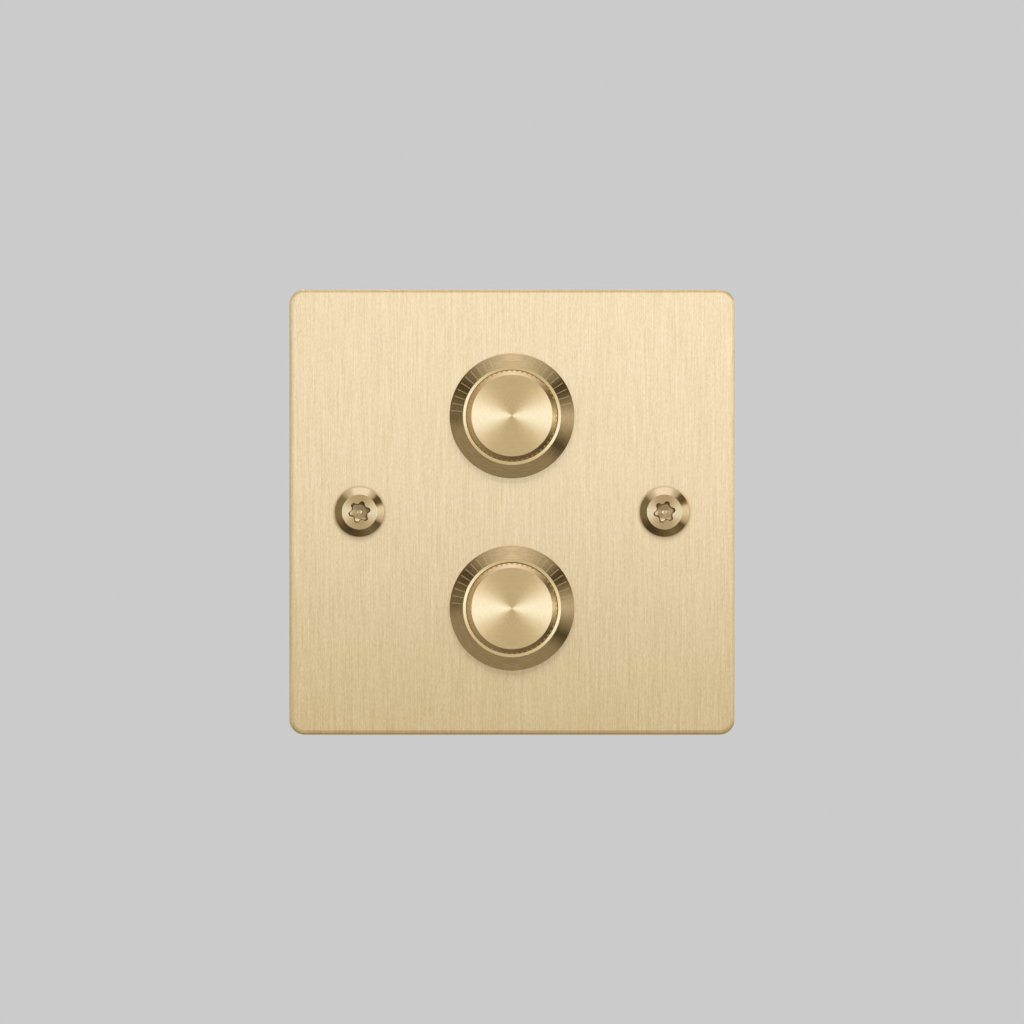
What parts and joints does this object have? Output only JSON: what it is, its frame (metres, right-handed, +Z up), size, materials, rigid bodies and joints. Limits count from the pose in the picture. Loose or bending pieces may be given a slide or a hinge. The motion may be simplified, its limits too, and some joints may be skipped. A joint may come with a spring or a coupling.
{
  "type": "two-gang dimmer switch",
  "caption": "Square brushed brass wall plate with push-and-turn rotary dimmers, knurled knobs in conical graduated dial rings, proud fixing screws and enclosed dimmer modules behind.",
  "frame": {"origin": "centre of the plate's back rim, in the plane of the wall, midway between the fixing screws", "axes": "+Z up, +X to the right as seen from the room, +Y into the wall, face looking along -Y"},
  "size_m": [0.088, 0.06, 0.088],
  "materials": {
    "brushed_brass": "vertical brushed grain, lacquered",
    "spun_brass": "turned, spun face and knurled side",
    "turned_brass": "turned, engraved lines",
    "screw_brass": "turned head, rolled thread",
    "plain_brass": "sawn and drilled",
    "bright_steel": "bright zinc plated",
    "spring_steel": "drawn",
    "cast_aluminium": "die cast, satin",
    "case_plastic": "moulded, fine texture",
    "terminal_plastic": "moulded",
    "inner_plastic": "moulded",
    "board_laminate": "solder mask",
    "component_black": "moulded",
    "choke_winding": "enamelled wire",
    "capacitor_sleeve": "shrunk sleeve",
    "film_box": "moulded box",
    "track_wafer": "printed track"
  },
  "bodies": {
    "wall_unit": {"front_plate": "brushed_brass", "fixing_screws": "screw_brass", "earth_terminal": "plain_brass", "earth_terminal_screw": "bright_steel", "bush_washers": "bright_steel", "bush_nuts": "bright_steel", "case_screws": "bright_steel", "terminal_screws": "bright_steel", "dial_ring_upper": "turned_brass", "dial_ring_lower": "turned_brass", "threaded_bush_upper": "plain_brass", "threaded_bush_lower": "plain_brass", "control_housing_upper": "inner_plastic", "control_housing_lower": "inner_plastic", "resistance_track_upper": "track_wafer", "resistance_track_lower": "track_wafer", "circuit_board_upper": "board_laminate", "circuit_board_lower": "board_laminate", "switch_housing_upper": "inner_plastic", "switch_housing_lower": "inner_plastic", "return_spring_upper": "spring_steel", "return_spring_lower": "spring_steel", "heat_sink_upper": "cast_aluminium", "heat_sink_lower": "cast_aluminium", "module_case_upper": "case_plastic", "module_case_lower": "case_plastic", "choke_upper": "choke_winding", "choke_lower": "choke_winding", "capacitor_upper": "capacitor_sleeve", "capacitor_lower": "capacitor_sleeve", "film_capacitor_upper": "film_box", "film_capacitor_lower": "film_box", "terminal_strip_upper": "terminal_plastic", "terminal_strip_lower": "terminal_plastic", "transistors_upper": "component_black", "transistors_lower": "component_black", "terminal_cages_upper": "plain_brass", "terminal_cages_lower": "plain_brass"},
    "wiper_upper": {"wiper_rotor_upper": "inner_plastic", "wiper_finger_upper": "plain_brass"},
    "knob_upper": {"knob_upper": "spun_brass", "knob_grub_screw_upper": "bright_steel", "spindle_upper": "bright_steel", "spindle_circlip_upper": "spring_steel"},
    "plunger_upper": {"switch_plunger_upper": "inner_plastic"},
    "wiper_lower": {"wiper_rotor_lower": "inner_plastic", "wiper_finger_lower": "plain_brass"},
    "knob_lower": {"knob_lower": "spun_brass", "knob_grub_screw_lower": "bright_steel", "spindle_lower": "bright_steel", "spindle_circlip_lower": "spring_steel"},
    "plunger_lower": {"switch_plunger_lower": "inner_plastic"}
  },
  "joints": [
    {"name": "turn_upper", "type": "hinge", "parent": "wall_unit", "child": "wiper_upper", "pos_m": [0, 0, 0.019], "axis": [0, 1, 0], "range_deg": [-145, 145]},
    {"name": "push_upper", "type": "slide", "parent": "wiper_upper", "child": "knob_upper", "axis": [0, 1, 0], "range_m": [0, 0.0015], "stiffness_N_per_m": 800, "springref_m": -0.003},
    {"name": "plunger_slide_upper", "type": "slide", "parent": "wall_unit", "child": "plunger_upper", "axis": [0, 1, 0], "range_m": [0, 0.0015], "deforming": ["return_spring_upper"]},
    {"name": "turn_lower", "type": "hinge", "parent": "wall_unit", "child": "wiper_lower", "pos_m": [0, 0, -0.019], "axis": [0, 1, 0], "range_deg": [-145, 145]},
    {"name": "push_lower", "type": "slide", "parent": "wiper_lower", "child": "knob_lower", "axis": [0, 1, 0], "range_m": [0, 0.0015], "stiffness_N_per_m": 800, "springref_m": -0.003},
    {"name": "plunger_slide_lower", "type": "slide", "parent": "wall_unit", "child": "plunger_lower", "axis": [0, 1, 0], "range_m": [0, 0.0015], "deforming": ["return_spring_lower"]}
  ],
  "couplings": [
    {"joint": "plunger_slide_upper", "follows": "push_upper", "ratio": 1},
    {"joint": "plunger_slide_lower", "follows": "push_lower", "ratio": 1}
  ]
}
